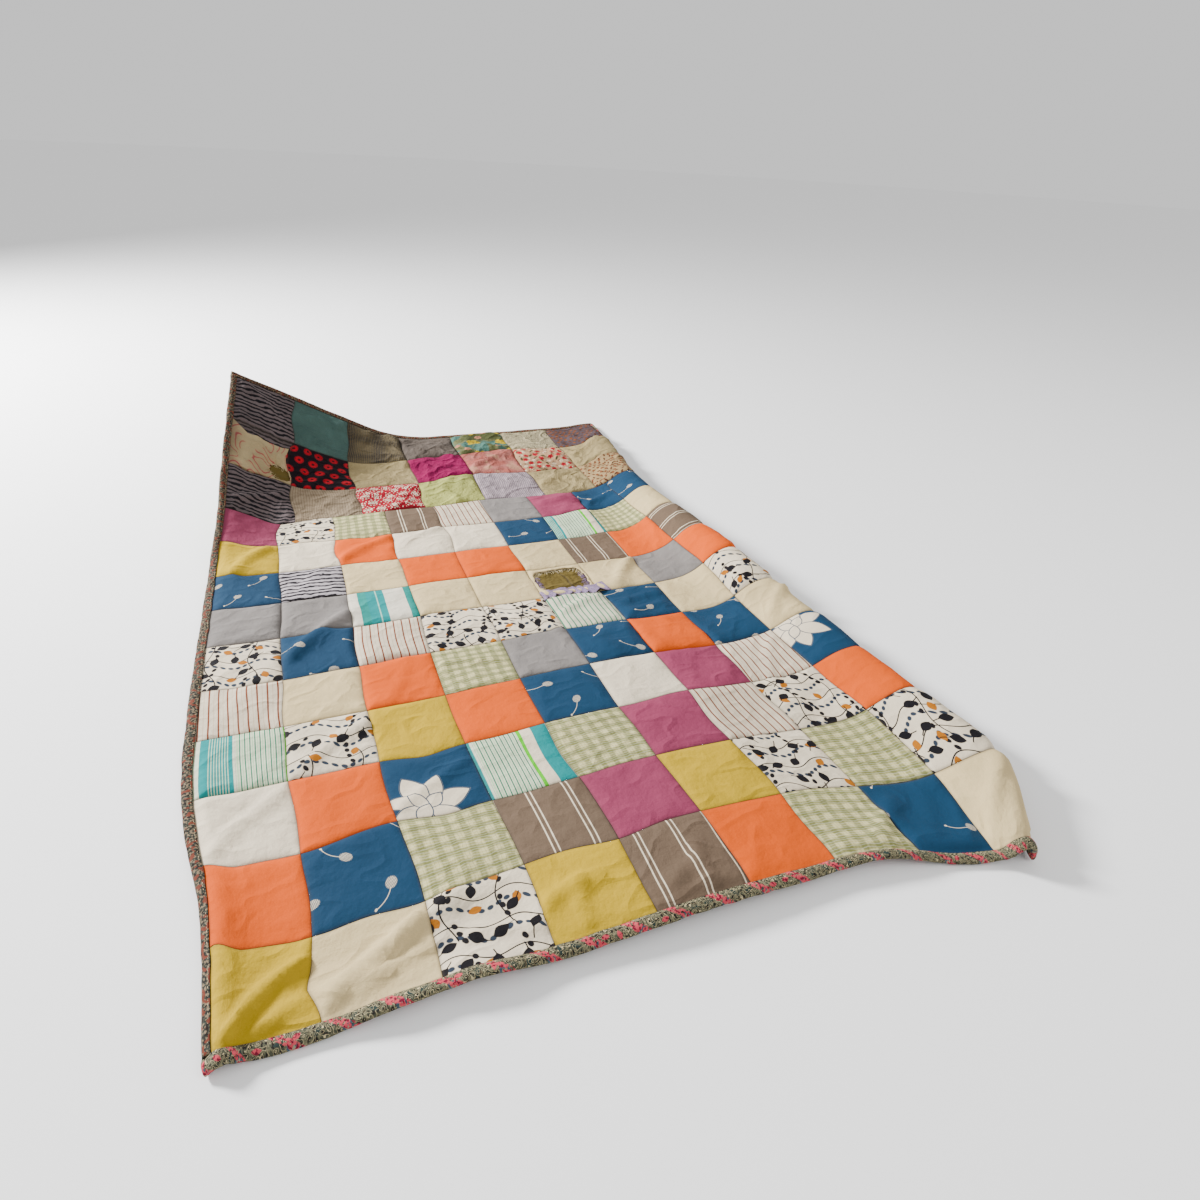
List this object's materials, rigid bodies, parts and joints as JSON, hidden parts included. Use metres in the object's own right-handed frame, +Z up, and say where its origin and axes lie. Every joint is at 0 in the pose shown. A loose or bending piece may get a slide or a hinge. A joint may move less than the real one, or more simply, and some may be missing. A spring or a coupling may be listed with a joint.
{
  "type": "patchwork quilt",
  "caption": "Hand-pieced cotton patchwork quilt lying loosely on a surface, one far corner lifted, edges bound in printed strips.",
  "frame": {"origin": "on the surface, under the middle of the bounding box", "axes": "+X across the quilt, +Y along it from the near end to the older far section, +Z up"},
  "size_m": [1.3755, 2.1915, 0.2832],
  "materials": {
    "front_cotton": "matt cotton in many prints and plain colours",
    "old_cotton": "thin, washed, crinkled cotton",
    "backing_cotton": "matt pieced cotton",
    "olive_cloth": "worn olive cloth",
    "lilac_cloth": "thin ruffled lilac cloth",
    "binding_print": "small floral print on grey green",
    "far_binding_print": "brown and rust speckled print"
  },
  "bodies": {
    "root": {"patchwork_main": "front_cotton", "patchwork_head": "old_cotton", "backing": "backing_cotton", "olive_lining_main": "olive_cloth", "olive_lining_head": "olive_cloth", "torn_flap": "lilac_cloth", "binding_near": "binding_print", "binding_far": "far_binding_print", "binding_left": "binding_print", "binding_right": "binding_print"}
  },
  "joints": []
}
